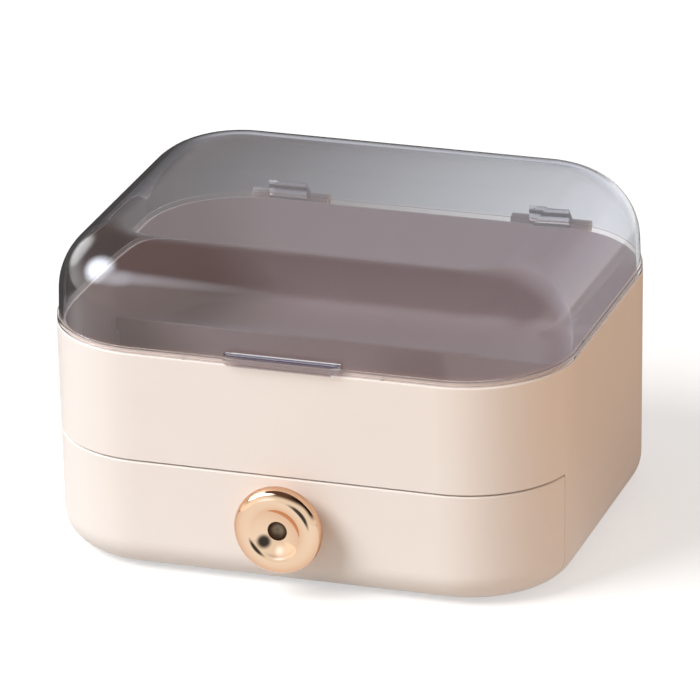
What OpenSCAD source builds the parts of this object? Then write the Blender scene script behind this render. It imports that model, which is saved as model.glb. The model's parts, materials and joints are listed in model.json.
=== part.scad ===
// Desktop makeup organizer: a rounded box with an open upper compartment under a clear
// flip-up lid, and one drawer whose front wraps round both front corners.
// +X is right, the front faces -Y, +Z is up. The origin is on the table, under the middle
// of the object's bounding box. All sizes are in millimetres.

/* [Body] */
// Width of the body at its rim
body_w = 235; // [229:1:241]
// Depth of the body at its rim, front to back
body_d = 195; // [191:1:201]
// Radius of the four upright corners
corner_r = 48; // [46:1:50]
// Radius of the rounded edge all round the bottom
bottom_edge_r = 14.5; // [13.5:0.5:15]
// How far each side leans in between the rim and the bottom
side_draft = 0.9; // [0.6:0.1:1.2]
// Thickness of the outer walls
wall = 3; // [2.8:0.1:3.2]
// Small rounding along visible rims and seams
rim_edge_r = 0.8; // [0.4:0.1:1]

/* [Heights above the table] */
// Overall height with the lid closed
total_h = 147; // [143:1:151]
// Seam between the body and the lid
lid_seam_z = 103.5; // [101:0.5:105]
// Seam between the drawer front and the wall above it
drawer_seam_z = 53.5; // [52.5:0.5:55]
// Underside of the body, as high as the feet stand proud
bottom_z = 1; // [0.8:0.1:1.2]

/* [Upper compartment] */
// Thickness of the deck between the compartment and the drawer
deck_t = 2.5; // [2:0.1:3]
// Width of the rim, from the outer face to the inner face of its wall
rim_w = 4; // [3.9:0.1:4.4]
// Height of the dust lip that stands inside the lid
lip_h = 1.3; // [0.8:0.1:1.8]
// Thickness of the dust lip
lip_t = 0.9; // [0.7:0.1:1]
// Height of the cross divider above the deck
divider_h = 20.5; // [15:0.5:30]
// Distance of the cross divider behind the body's middle
divider_y = 3; // [-10:1:15]
// Thickness of the dividers
divider_t = 2; // [1.6:0.1:2.4]

/* [Lid] */
// Radius of the rounded edge round the lid's top
lid_edge_r = 30; // [27:0.5:32]
// Thickness of the lid
lid_t = 1.8; // [1.6:0.1:2]
// Height of the flange round the lid's foot
flange_h = 2.6; // [2:0.1:3.5]
// Step between the flange's face and the lid's side
flange_step = 0.75; // [0.5:0.05:0.9]
// How far the lid's side leans in for each millimetre of height
lid_lean = 0.03; // [0.01:0.01:0.05]
// Width of the pull tab where it meets the flange
tab_w = 54; // [44:1:64]
// How far the pull tab stands out from the flange
tab_out = 4; // [3:0.5:6]
// Height of the pull tab
tab_h = 5; // [4:0.5:6]

/* [Hinge] */
// Distance of the hinge pins behind the body's rear face
hinge_out = 3.6; // [3.6:0.1:4.4]
// Distance of each hinge from the middle of the box
hinge_x = 62; // [50:1:64]
// Radius of a hinge pin
pin_r = 1.25; // [1:0.05:1.4]
// Width of the lid's knuckle in each hinge
lid_knuckle_w = 18; // [14:1:20]
// Width of each of the body's two knuckles in a hinge
body_knuckle_w = 9; // [7:1:10]
// Angle at which the lid's heels stop against the rear wall
lid_open = 100; // [95:1:105]

/* [Drawer] */
// Distance from the front face back to the end of the wrapped drawer front
drawer_wrap = 36; // [34:1:38]
// How far the drawer pulls out
drawer_travel = 125; // [100:5:125]
// Height of the tray's top edge
tray_top_z = 51; // [44:0.5:51]
// Thickness of the tray's walls and floor
tray_t = 2; // [1.8:0.1:2.4]
// Gap between the inside of the body's side wall and the tray
tray_side_gap = 4.8; // [4.5:0.1:5.5]
// Hollow space between the drawer front's skin and the tray's front wall
front_hollow = 4; // [3.5:0.5:4.5]
// Height of the drawer divider's top edge above the tray floor
drawer_divider_h = 30; // [20:1:34]

/* [Knob] */
// Radius of the knob
knob_r = 19.8; // [18:0.2:21]
// Radius of its rounded rim
knob_rim_r = 5.6; // [4.6:0.2:6]
// Distance of its widest circle in front of the washer
knob_widest = 9.2; // [8.6:0.2:10]
// Radius of its neck, where it meets the washer
knob_neck_r = 13.5; // [12:0.5:14]
// Radius of the shallow dish in its face
knob_dish_r = 19; // [17:0.5:24]
// Radius of the round hollow at its centre
knob_pit_r = 4.4; // [4:0.1:5]
// Height of its centre above the table
knob_z = 33; // [31:0.5:35]

/* [Base] */
// Thickness of the base plate
base_t = 2.2; // [2:0.1:2.4]
// Radius of a foot
foot_r = 6; // [5:0.5:6.5]
// Distance of the feet from the middle, left and right
foot_x = 76; // [70:1:78]
// Distance of the rails from the middle, left and right
rail_x = 78; // [76:1:79]

/* [Fits] */
// Gap along the seam over the drawer front
drawer_gap = 0.9; // [0.6:0.1:1]
// Gap along the parting lines beside the drawer front
side_gap = 0.3; // [0.3:0.05:0.5]
// Gap under the lid, filled by the rim pads
lid_gap = 0.4; // [0.3:0.05:0.5]
// Clearance round a running pin, and round a screw in its hole
fit_gap = 0.05; // [0.02:0.01:0.08]
// Gap beside a sliding or push-in piece
slide_gap = 0.2; // [0.15:0.05:0.3]

/* [Hidden] */
$fn = 64;

cream = "#EFE0D4";
inner_cream = "#E6D3C6";
smoke = [0.47, 0.46, 0.5, 0.45];
rose_gold = "#E9B98C";
steel = "#B9BABC";
brass = "#C9A24B";
grey_rubber = "#8C8884";
white_plastic = "#E9E7E3";

// Axes of the four upright corners, measured from the body's middle
axis_x = body_w / 2 - corner_r;
axis_y = body_d / 2 - corner_r;

// Outer radius about a corner axis at height z, which shrinks towards the bottom
function side_r(z) = corner_r - side_draft * (lid_seam_z - z) / (lid_seam_z - bottom_z);
// Distance of the body's front or rear face from its middle at height z
function face_y(z) = axis_y + side_r(z);

// Levels
half_gap = drawer_gap / 2;
front_top_z = drawer_seam_z - half_gap;
deck_under_z = drawer_seam_z + half_gap;
deck_z = deck_under_z + deck_t;
shell_floor_t = 4;
shell_floor_z = bottom_z + shell_floor_t;
front_floor_z = bottom_z + wall;
lid_foot_z = lid_seam_z + lid_gap;
flange_z = lid_foot_z + flange_h;

// Upper compartment: radii about the corner axes and rounding of its floor
hold_r = corner_r - rim_w;
hold_draft = 0.3;
hold_edge_r = 5;

// Drawer space
space_r = side_r(bottom_z) - wall;
space_top_r = side_r(deck_under_z) - wall;
part_y = -body_d / 2 + drawer_wrap;

// Lid: radii about the corner axes
flange_r = corner_r - 0.25;
lid_foot_r = flange_r - flange_step;
lid_top_r = lid_foot_r - lid_lean * (total_h - flange_z);
lid_inner_foot_r = lid_foot_r - lid_t;

// Hinge
knuckle_r = hinge_out - 0.3;
knuckle_gap = 0.3;
hinge_y = body_d / 2 + hinge_out;
hinge_z = lid_seam_z;
knuckle_foot_angle = 40;
web_h = 11;
body_web_sink = 1.5;
lid_web_sink = 2.2;
heel_face = hinge_out - 0.1;
heel_drop = 3.9;
heel_toe = [-0.8, -knuckle_r + 0.1];
hinge_w = lid_knuckle_w + 2 * (body_knuckle_w + knuckle_gap);

// Base plate, the ledge it closes, and its screws
recess_inset = 6;
ledge_w = 8;
recess_r = side_r(bottom_z) - bottom_edge_r - recess_inset;
opening_r = recess_r - ledge_w;
screw_ring_r = opening_r + ledge_w / 2;
base_top_z = bottom_z + base_t;
base_front_y = part_y + 0.3;
boss_r = 3.2;
boss_top_z = bottom_z + 7.6;
base_screw_spots = [
    for (side = [-1, 1]) each [
        [side * (axis_x + screw_ring_r), part_y + 12],
        [side * (axis_x + screw_ring_r), 10],
        [side * 40, axis_y + screw_ring_r]
    ]
];
screw_core_r = 1.2;
screw_pass_r = screw_core_r + 0.3;
screw_head_r = 2.4;
screw_head_t = 1.2;
screw_sink = 0.1;
base_screw_len = 6;
rail_screw_len = 5;

// Feet
foot_t = 2;
foot_front_y = part_y + 11.5;
foot_rear_y = axis_y + 6.5;

// Rails on the base plate and the shoes under the tray
rail_w = 14;
rail_front_y = part_y + 3.5;
rail_rear_y = axis_y + 9.5;
rail_strip_t = 2;
rail_strip_z = base_top_z + rail_strip_t;
rib_w = 4;
rib_top_z = rail_strip_z + 2;
peg_top_z = rail_strip_z + 3.2;
peg_len = 3;
peg_y = rail_front_y + 2;
rail_screw_ys = [part_y + 26.5, axis_y - 9.5];
shoe_gap = 0.1;
shoe_z = rail_strip_z + shoe_gap;
shoe_wall = 1.5;
shoe_front_y = peg_y - slide_gap - shoe_wall;
shoe_stop_y = peg_y + peg_len + drawer_travel + 0.3;
shoe_rear_y = shoe_stop_y + 3;
shoe_screw_ys = [part_y + 20, axis_y];
shoe_slot = rib_w / 2 + slide_gap;
shoe_screw_x = rail_x + (shoe_slot + rail_w / 2) / 2;
shoe_screw_low_z = shoe_z + 1.2;

// Tray
tray_z = rail_strip_z + 4.4;
tray_floor_z = tray_z + tray_t;
tray_r = space_r - tray_side_gap;
tray_edge_r = 6;
tray_rear_y = axis_y + tray_r;
tray_front_y = -face_y(knob_z) + wall + front_hollow;
tray_half_y = (tray_rear_y - tray_front_y) / 2 - tray_r;
tray_mid_y = (tray_rear_y + tray_front_y) / 2;
drawer_divider_y = tray_mid_y;

// Knob, its seat in the drawer front, and the screw from inside the tray
seat_depth = 0.4;
seat_r = knob_neck_r + 0.5;
seat_y = -face_y(knob_z) + seat_depth;
washer_t = 1;
washer_r = knob_neck_r;
knob_back_y = seat_y - washer_t;
knob_rim_c = knob_r - knob_rim_r;
dish_reach = knob_dish_r + knob_rim_r;
dish_c = knob_widest + sqrt(dish_reach * dish_reach - knob_rim_c * knob_rim_c);
blend = knob_dish_r / dish_reach;
blend_r = knob_rim_c * blend;
blend_h = dish_c + (knob_widest - dish_c) * blend;
pit_floor_h = 6.4;
knob_front_y = knob_back_y - knob_widest - knob_rim_r;
insert_r = 2.8;
insert_len = 5;
knob_screw_r = 2;
knob_screw_head_r = 3.8;
knob_screw_head_t = 2.4;
knob_screw_pass_r = knob_screw_r + 0.2;
driver_cross = [4.4, 2.4, 0.9];
knob_boss_r = 7;

// Screws that hold the tray to the drawer front
front_screw_x = 52;
front_screw_z = 31;
front_boss_r = 4.5;
front_hole_r = 1.7;
front_screw_head_r = 3;
front_screw_head_t = 1.8;
front_screw_len = 7;

// Rim pads that the lid comes to rest on
pad_r = 1.1;
pad_sink = 1.2;
pad_line = 1.65;
pad_x = 45;
pad_y = -35;

// The object reaches from the knob's rim back to the heels of the closed lid
heel_reach = heel_drop * sin(lid_open) - heel_face * cos(lid_open);
frame_shift = (-knob_front_y - hinge_y - heel_reach) / 2;

// Moves a piece from the body's middle to the middle of the whole object
module in_frame() {
    translate([0, frame_shift, 0]) children();
}

module both_sides() {
    children();
    mirror([1, 0, 0]) children();
}

// Half outline of a rounded tub beside its corner axis. z0 is the closed end with the
// rounded edge, z1 the open end; r0 and r1 are the radii there before rounding.
module tub_half(z0, z1, r0, r1, edge, rim = 0) {
    lean = atan((r1 - r0) / (z1 - z0));
    tangent = [cos(lean), -sin(lean)];
    edge_c = [r0 + edge * (tan(lean) - 1 / cos(lean)), z0 + edge];
    rim_c = [r1 - rim * (tan(lean) + 1 / cos(lean)), z1 - rim];
    polygon([
        [0, z0], [edge_c[0], z0], edge_c, edge_c + edge * tangent,
        rim_c + rim * tangent, rim_c, [rim_c[0], z1], [0, z1]
    ]);
    if (edge > 0) intersection() {
        translate(edge_c) circle(edge);
        translate([edge_c[0], z0]) square(edge);
    }
    if (rim > 0) translate(rim_c) circle(rim);
}

// The half outline drawn out to both sides of the middle, from one corner axis to the other
module tub_outline(ax, z0, z1, r0, r1, edge, rim) {
    for (side = [0, 1])
        mirror([side, 0]) translate([ax, 0]) tub_half(z0, z1, r0, r1, edge, rim);
    translate([-ax, z0]) square([2 * ax, z1 - z0]);
}

// Solid rounded tub with its corner axes at ax and ay from the middle
module tub(z0, z1, r0, r1, edge, rim = 0, ax = axis_x, ay = axis_y) {
    rotate([90, 0, 0])
        linear_extrude(2 * ay, center = true) tub_outline(ax, z0, z1, r0, r1, edge, rim);
    rotate([90, 0, 90])
        linear_extrude(2 * ax, center = true) tub_outline(ay, z0, z1, r0, r1, edge, rim);
    for (quarter = [0 : 3]) {
        side_x = (quarter == 0 || quarter == 3) ? 1 : -1;
        side_y = quarter < 2 ? 1 : -1;
        translate([side_x * ax, side_y * ay, 0]) rotate([0, 0, 90 * quarter])
            rotate_extrude(angle = 90) tub_half(z0, z1, r0, r1, edge, rim);
    }
}

// Flat plate in the body's plan, with radius r about the corner axes
module plan_plate(z0, z1, r, ax = axis_x, ay = axis_y) {
    tub(z0, z1, r, r, 0, 0, ax, ay);
}

module box(low, high) {
    translate(low) cube(high - low);
}

// Cylinder along +Y from y0 to y1
module rod_y(x, z, r, y0, y1) {
    translate([x, y0, z]) rotate([-90, 0, 0]) cylinder(h = y1 - y0, r = r);
}

// Cylinder along +X from x0 to x1, on the hinge axis
module hinge_rod(r, x0, x1) {
    translate([x0, hinge_y, hinge_z]) rotate([0, 90, 0]) cylinder(h = x1 - x0, r = r);
}

// A section drawn in Y and Z, run along +X from x0 to x1
module run_x(x0, x1) {
    translate([x0, 0, 0]) rotate([90, 0, 90]) linear_extrude(x1 - x0) children();
}

// Knuckle with a web to a wall: up is 1 for the lid's, -1 for the body's
module knuckle_section(up, wall_y) {
    tangent = knuckle_r * [cos(knuckle_foot_angle), up * sin(knuckle_foot_angle)];
    translate([hinge_y, hinge_z]) circle(knuckle_r);
    polygon([
        [wall_y, hinge_z + up * lid_gap],
        [hinge_y, hinge_z + up * lid_gap],
        [hinge_y, hinge_z] + tangent,
        [wall_y, hinge_z + up * web_h]
    ]);
}

// Heel on the lid's knuckle, drawn where it meets the rear wall and turned back to closed
module heel_section() {
    translate([hinge_y, hinge_z]) rotate(lid_open)
        polygon([[-heel_face, 0], [-heel_face, -heel_drop], heel_toe, [0, 0]]);
}

module body_tub() {
    tub(bottom_z, lid_seam_z, side_r(bottom_z), corner_r, bottom_edge_r, rim_edge_r);
}

module hold_space(shrink = 0) {
    tub(deck_z, lid_seam_z + 10, hold_r - hold_draft - shrink, hold_r - shrink, hold_edge_r);
}

module drawer_space(floor_z) {
    tub(floor_z, deck_under_z, space_r, space_top_r, bottom_edge_r - (floor_z - bottom_z));
}

// Region in front of the parting line, up to z1
module front_region(y1, z1) {
    box([-body_w, -body_d, -1], [body_w, y1, z1]);
}

// Fixed body
module housing_walls() {
    difference() {
        union() {
            body_tub();
            dust_lip();
        }
        hold_space();
        drawer_space(shell_floor_z);
        front_region(part_y + side_gap / 2, deck_under_z);
        intersection() {
            plan_plate(bottom_z - 1, base_top_z, recess_r);
            box([-body_w, part_y, 0], [body_w, body_d, base_top_z]);
        }
        plan_plate(bottom_z, shell_floor_z + 1, opening_r);
    }
}

module dust_lip() {
    plan_plate(lid_seam_z - 2, lid_seam_z + lip_h, hold_r + lip_t);
}

// Two ribs on each side wall that hold the ends of the cross divider
module divider_slots() {
    rib_t = 1.5;
    rib_out = 1.6;
    for (front_back = [-1, 1]) both_sides()
        translate([
            axis_x + hold_r - hold_draft - rib_out,
            divider_y + front_back * (divider_t / 2 + slide_gap / 2 + rib_t / 2) - rib_t / 2,
            deck_z - 0.5
        ])
            cube([rib_out + 1, rib_t, divider_h - 4]);
}

module base_bosses() {
    for (spot = base_screw_spots)
        translate([spot[0], spot[1], base_top_z]) cylinder(h = boss_top_z - base_top_z, r = boss_r);
}

module body_knuckles() {
    for (end = [-1, 1]) both_sides() {
        middle = hinge_x + end * (hinge_w - body_knuckle_w) / 2;
        run_x(middle - body_knuckle_w / 2, middle + body_knuckle_w / 2)
            knuckle_section(-1, body_d / 2 - body_web_sink);
    }
}

module housing_shell() {
    color(cream) in_frame() difference() {
        union() {
            housing_walls();
            divider_slots();
            base_bosses();
            body_knuckles();
        }
        for (spot = base_screw_spots)
            translate([spot[0], spot[1], 0]) cylinder(h = boss_top_z - 0.8, r = screw_core_r + fit_gap);
        for (spot = pad_spots())
            translate([spot[0], spot[1], lid_seam_z - pad_sink])
                cylinder(h = pad_sink + 2, r = pad_r + fit_gap);
        both_sides() hinge_rod(pin_r, hinge_x - hinge_w, hinge_x + hinge_w);
    }
}

function pad_spots() = [
    for (side = [-1, 1]) each [
        [side * pad_x, -body_d / 2 + pad_line],
        [side * (body_w / 2 - pad_line), pad_y]
    ]
];

module rim_pads() {
    pad_top_z = lid_foot_z - 0.02;
    color(grey_rubber) in_frame()
        for (spot = pad_spots())
            translate([spot[0], spot[1], lid_seam_z - pad_sink])
                cylinder(h = pad_top_z - lid_seam_z + pad_sink, r = pad_r);
}

function foot_spots() = [
    [-foot_x, foot_front_y], [foot_x, foot_front_y], [-foot_x, foot_rear_y], [foot_x, foot_rear_y]
];

module base_plate() {
    color(cream) in_frame() difference() {
        intersection() {
            plan_plate(bottom_z, base_top_z, recess_r - slide_gap);
            box([-body_w, base_front_y, 0], [body_w, body_d, base_top_z]);
        }
        for (spot = base_screw_spots) translate([spot[0], spot[1], 0]) {
            cylinder(h = base_top_z + 1, r = screw_pass_r);
            cylinder(h = bottom_z + screw_head_t, r = screw_head_r + fit_gap);
        }
        for (side = [-1, 1], y = rail_screw_ys) translate([side * rail_x, y, 0]) {
            cylinder(h = base_top_z + 1, r = screw_pass_r);
            cylinder(h = bottom_z + screw_head_t, r = screw_head_r + fit_gap);
        }
        for (spot = foot_spots())
            translate([spot[0], spot[1], 0]) cylinder(h = foot_t, r = foot_r + fit_gap);
    }
}

// Screw that stands head down in the base plate's underside
module base_screw(spot, length) {
    translate([spot[0], spot[1], bottom_z + screw_sink]) {
        cylinder(h = screw_head_t - screw_sink, r = screw_head_r);
        cylinder(h = length, r = screw_core_r);
    }
}

module base_screws() {
    color(steel) in_frame() for (spot = base_screw_spots) base_screw(spot, base_screw_len);
}

module rail_screws() {
    color(steel) in_frame()
        for (side = [-1, 1], y = rail_screw_ys) base_screw([side * rail_x, y], rail_screw_len);
}

module foot(spot) {
    color(grey_rubber) in_frame() translate([spot[0], spot[1], 0]) cylinder(h = foot_t, r = foot_r);
}

// Guide rail for one side: a flat strip with a rib along it and a stop peg at the front
module rail(side) {
    color(white_plastic) in_frame() translate([side * rail_x, 0, 0]) difference() {
        union() {
            box([-rail_w / 2, rail_front_y, base_top_z], [rail_w / 2, rail_rear_y, rail_strip_z]);
            box([-rib_w / 2, rail_front_y, base_top_z], [rib_w / 2, rail_rear_y, rib_top_z]);
            box([-rib_w / 2, peg_y, base_top_z], [rib_w / 2, peg_y + peg_len, peg_top_z]);
        }
        for (y = rail_screw_ys)
            translate([0, y, 0]) cylinder(h = rib_top_z - 0.6, r = screw_core_r + fit_gap);
    }
}

module cross_divider() {
    color(inner_cream) in_frame() intersection() {
        hold_space(slide_gap);
        box(
            [-body_w, divider_y - divider_t / 2, deck_z],
            [body_w, divider_y + divider_t / 2, deck_z + divider_h]
        );
    }
}

module hinge_pin(side) {
    length = hinge_w - 0.6;
    color(steel) in_frame()
        hinge_rod(pin_r, side * hinge_x - length / 2, side * hinge_x + length / 2);
}

// Tub upside down, its closed end top_inset below the lid's top and its open end at foot_z
module lid_tub(top_inset, foot_z, top_r, foot_r, edge) {
    translate([0, 0, total_h]) mirror([0, 0, 1])
        tub(top_inset, total_h - foot_z, top_r, foot_r, edge);
}

// Clear lid with its flange, pull tab and hinge knuckles
module lid_dome() {
    lid_tub(0, flange_z - 0.5, lid_top_r, lid_foot_r, lid_edge_r);
    plan_plate(lid_foot_z, flange_z, flange_r);
}

module lid_hollow() {
    lid_tub(lid_t, lid_foot_z - 1, lid_top_r - lid_t, lid_inner_foot_r, lid_edge_r - lid_t);
}

// Plan of the tab narrows outwards, and its section has rounded front edges
module pull_tab() {
    front = -axis_y - flange_r;
    round_r = 1.4;
    intersection() {
        translate([0, 0, lid_foot_z]) linear_extrude(tab_h) polygon([
            [-tab_w / 2, front + 1], [-tab_w / 2, front],
            [-tab_w / 2 + tab_out, front - tab_out], [tab_w / 2 - tab_out, front - tab_out],
            [tab_w / 2, front], [tab_w / 2, front + 1]
        ]);
        run_x(-tab_w, tab_w) {
            translate([front - tab_out + round_r, lid_foot_z]) square([tab_out + 1, tab_h]);
            translate([front - tab_out, lid_foot_z + round_r]) square([tab_out, tab_h - 2 * round_r]);
            for (z = [lid_foot_z + round_r, lid_foot_z + tab_h - round_r])
                translate([front - tab_out + round_r, z]) circle(round_r);
        }
    }
}

module lid_knuckles() {
    both_sides() run_x(hinge_x - lid_knuckle_w / 2, hinge_x + lid_knuckle_w / 2) {
        knuckle_section(1, body_d / 2 - lid_web_sink);
        heel_section();
    }
}

module lid() {
    color(smoke) in_frame() difference() {
        union() {
            lid_dome();
            pull_tab();
            lid_knuckles();
        }
        lid_hollow();
        both_sides() hinge_rod(pin_r + fit_gap, hinge_x - hinge_w, hinge_x + hinge_w);
    }
}

// Drawer
module drawer_front() {
    color(cream) in_frame() difference() {
        union() {
            difference() {
                intersection() {
                    tub(bottom_z, front_top_z, side_r(bottom_z), side_r(front_top_z),
                        bottom_edge_r, rim_edge_r);
                    front_region(part_y - side_gap / 2, front_top_z);
                }
                drawer_space(front_floor_z);
            }
            for (side = [-1, 1])
                rod_y(side * front_screw_x, front_screw_z, front_boss_r, seat_y, tray_front_y);
            rod_y(0, knob_z, knob_boss_r, seat_y, tray_front_y);
        }
        rod_y(0, knob_z, seat_r, -body_d, seat_y);
        rod_y(0, knob_z, knob_screw_pass_r, -body_d, tray_front_y + 1);
        for (side = [-1, 1])
            rod_y(side * front_screw_x, front_screw_z, screw_core_r + fit_gap,
                tray_front_y - front_screw_len + tray_t, tray_front_y + 1);
    }
}

module tray_tub(floor_z, inset, edge) {
    translate([0, tray_mid_y, 0])
        tub(floor_z, tray_top_z, tray_r - inset, tray_r - inset, edge, 0, axis_x, tray_half_y);
}

module drawer_tray() {
    color(inner_cream) in_frame() difference() {
        tray_tub(tray_z, 0, tray_edge_r);
        translate([0, tray_mid_y, 0])
            tub(tray_floor_z, tray_top_z + 1, tray_r - tray_t, tray_r - tray_t,
                tray_edge_r - tray_t, 0, axis_x, tray_half_y);
        rod_y(0, knob_z, knob_screw_pass_r, tray_front_y - 1, tray_front_y + tray_t + 1);
        for (side = [-1, 1])
            rod_y(side * front_screw_x, front_screw_z, front_hole_r,
                tray_front_y - 1, tray_front_y + tray_t + 1);
        for (side = [-1, 1], y = shoe_screw_ys) translate([side * shoe_screw_x, y, 0]) {
            cylinder(h = tray_floor_z + 1, r = screw_pass_r);
            translate([0, 0, tray_floor_z - screw_head_t]) cylinder(h = 2, r = screw_head_r + fit_gap);
        }
    }
}

module drawer_divider() {
    color(inner_cream) in_frame() intersection() {
        tray_tub(tray_floor_z, tray_t + slide_gap, tray_edge_r - tray_t);
        box(
            [-body_w, drawer_divider_y - divider_t / 2, tray_floor_z],
            [body_w, drawer_divider_y + divider_t / 2, tray_floor_z + drawer_divider_h]
        );
    }
}

module front_screws() {
    head_y = tray_front_y + tray_t;
    color(steel) in_frame() for (side = [-1, 1]) {
        rod_y(side * front_screw_x, front_screw_z, front_screw_head_r,
            head_y, head_y + front_screw_head_t);
        rod_y(side * front_screw_x, front_screw_z, screw_core_r,
            head_y - front_screw_len + 0.3, head_y);
    }
}

// Half section of the knob: distance from its axis, and distance in front of the washer
module knob_section() {
    low = knob_rim_r * [cos(-35), sin(-35)];
    difference() {
        union() {
            polygon([
                [0, 0], [knob_neck_r, 0], [knob_rim_c, knob_widest] + low,
                [knob_rim_c, knob_widest], [blend_r, blend_h], [0, blend_h]
            ]);
            translate([knob_rim_c, knob_widest]) circle(knob_rim_r);
        }
        translate([0, dish_c]) circle(knob_dish_r);
        translate([0, pit_floor_h + knob_pit_r]) circle(knob_pit_r);
        square([insert_r, insert_len]);
    }
}

module knob() {
    color(rose_gold) in_frame()
        translate([0, knob_back_y, knob_z]) rotate([90, 0, 0]) rotate_extrude() knob_section();
}

module knob_insert() {
    color(brass) in_frame() difference() {
        rod_y(0, knob_z, insert_r, knob_back_y - insert_len, knob_back_y);
        rod_y(0, knob_z, knob_screw_r, knob_back_y - insert_len - 1, knob_back_y + 1);
    }
}

module knob_washer() {
    color(grey_rubber) in_frame() difference() {
        rod_y(0, knob_z, washer_r, knob_back_y, seat_y);
        rod_y(0, knob_z, knob_screw_pass_r, knob_back_y - 1, seat_y + 1);
    }
}

module knob_screw() {
    head_y = tray_front_y + tray_t;
    color(steel) in_frame() difference() {
        union() {
            rod_y(0, knob_z, knob_screw_head_r, head_y, head_y + knob_screw_head_t);
            rod_y(0, knob_z, knob_screw_r - fit_gap, knob_back_y - insert_len + 0.4, head_y);
        }
        for (turn = [0, 90]) translate([0, head_y + knob_screw_head_t, knob_z])
            rotate([0, turn, 0]) cube(driver_cross, center = true);
    }
}

// Shoe under the tray: a channel that runs on the rail, with a bar at its rear that
// catches the rail's stop peg
module shoe(side) {
    half = rail_w / 2;
    bar_z = rib_top_z + 0.3;
    color(white_plastic) in_frame() difference() {
        translate([side * rail_x, 0, 0]) difference() {
            box([-half, shoe_front_y, shoe_z], [half, shoe_rear_y, tray_z]);
            box(
                [-shoe_slot, shoe_front_y + shoe_wall, shoe_z - 1],
                [shoe_slot, shoe_stop_y, peg_top_z + slide_gap]
            );
            box([-shoe_slot, shoe_front_y - 1, shoe_z - 1], [shoe_slot, shoe_rear_y + 1, bar_z]);
        }
        for (y = shoe_screw_ys) translate([side * shoe_screw_x, y, shoe_screw_low_z - screw_sink])
            cylinder(h = tray_z, r = screw_core_r + fit_gap);
    }
}

module shoe_screws() {
    head_z = tray_floor_z - screw_head_t;
    color(steel) in_frame()
        for (side = [-1, 1], y = shoe_screw_ys) translate([side * shoe_screw_x, y, 0]) {
            translate([0, 0, head_z]) cylinder(h = screw_head_t - screw_sink, r = screw_head_r);
            translate([0, 0, shoe_screw_low_z])
                cylinder(h = head_z - shoe_screw_low_z + screw_sink, r = screw_core_r);
        }
}

housing_shell();
base_plate();
base_screws();
foot(foot_spots()[0]);  // foot_front_left
foot(foot_spots()[1]);  // foot_front_right
foot(foot_spots()[2]);  // foot_rear_left
foot(foot_spots()[3]);  // foot_rear_right
rail(-1);  // rail_left
rail(1);  // rail_right
rail_screws();
cross_divider();
rim_pads();
hinge_pin(-1);  // hinge_pin_left
hinge_pin(1);  // hinge_pin_right
lid();
drawer_front();
drawer_tray();
front_screws();
drawer_divider();
knob();
knob_insert();
knob_washer();
knob_screw();
shoe(-1);  // shoe_left
shoe(1);  // shoe_right
shoe_screws();
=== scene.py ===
"""Looks of a desktop makeup organizer.

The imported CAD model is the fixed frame. Lid, knob, screws and pads are rebuilt here as finer
meshes; every other piece keeps its CAD shape and gets its finish. Sizes are in millimetres
until a mesh is made, and Blender works in metres.
"""

import json
import logging
import math
from collections.abc import Callable
from dataclasses import dataclass, field
from enum import Enum
from functools import cache, partial

import bmesh
import bpy
from bpy.types import Material, Mesh, Node, NodeSocket, NodeTree, Object
from mathutils import Matrix, Vector
from mathutils.geometry import tessellate_polygon


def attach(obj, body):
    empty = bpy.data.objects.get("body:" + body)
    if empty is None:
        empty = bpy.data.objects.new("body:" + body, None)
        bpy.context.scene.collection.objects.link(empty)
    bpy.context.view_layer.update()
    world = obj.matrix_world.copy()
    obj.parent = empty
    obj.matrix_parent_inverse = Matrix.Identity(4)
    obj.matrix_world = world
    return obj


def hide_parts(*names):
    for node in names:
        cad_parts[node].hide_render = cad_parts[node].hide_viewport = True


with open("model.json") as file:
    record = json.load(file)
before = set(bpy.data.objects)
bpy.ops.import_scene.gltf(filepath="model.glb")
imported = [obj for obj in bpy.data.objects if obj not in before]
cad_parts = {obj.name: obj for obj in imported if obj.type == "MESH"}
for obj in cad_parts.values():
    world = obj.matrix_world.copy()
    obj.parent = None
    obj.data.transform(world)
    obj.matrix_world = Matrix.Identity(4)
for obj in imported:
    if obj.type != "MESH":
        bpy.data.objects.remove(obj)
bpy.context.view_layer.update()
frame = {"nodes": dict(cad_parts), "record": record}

log = logging.getLogger("organizer")
Rgba = tuple[float, float, float, float]
Triple = tuple[float, float, float]
Outline = list[tuple[float, float]]
Inputs = dict[str | int, object]
Row = tuple[list[int], list[Vector]]
AddNode = Callable[..., Node]

MM = 0.001
# Parts of one moulding reach this far into each other
JOIN = 0.02
# Points that are closer than this, in metres, become one
SAME_SPOT_M = 1e-6
# Edges that turn more than this are shaded sharp
SHARP_DEG = 35.0

# Blender's names of node types
COORDINATES = "ShaderNodeTexCoord"
SPLIT = "ShaderNodeSeparateXYZ"
LIGHT_PATH = "ShaderNodeLightPath"
NOISE = "ShaderNodeTexNoise"
BUMP = "ShaderNodeBump"
RANGE = "ShaderNodeMapRange"
MATH = "ShaderNodeMath"
VECTOR_MATH = "ShaderNodeVectorMath"
MIX = "ShaderNodeMix"
MIX_SHADER = "ShaderNodeMixShader"
PRINCIPLED = "ShaderNodeBsdfPrincipled"
DIFFUSE = "ShaderNodeBsdfDiffuse"
SEE_THROUGH = "ShaderNodeBsdfTransparent"
EMISSION = "ShaderNodeEmission"
BACKGROUND = "ShaderNodeBackground"
OUTPUT = "ShaderNodeOutputMaterial"

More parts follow.
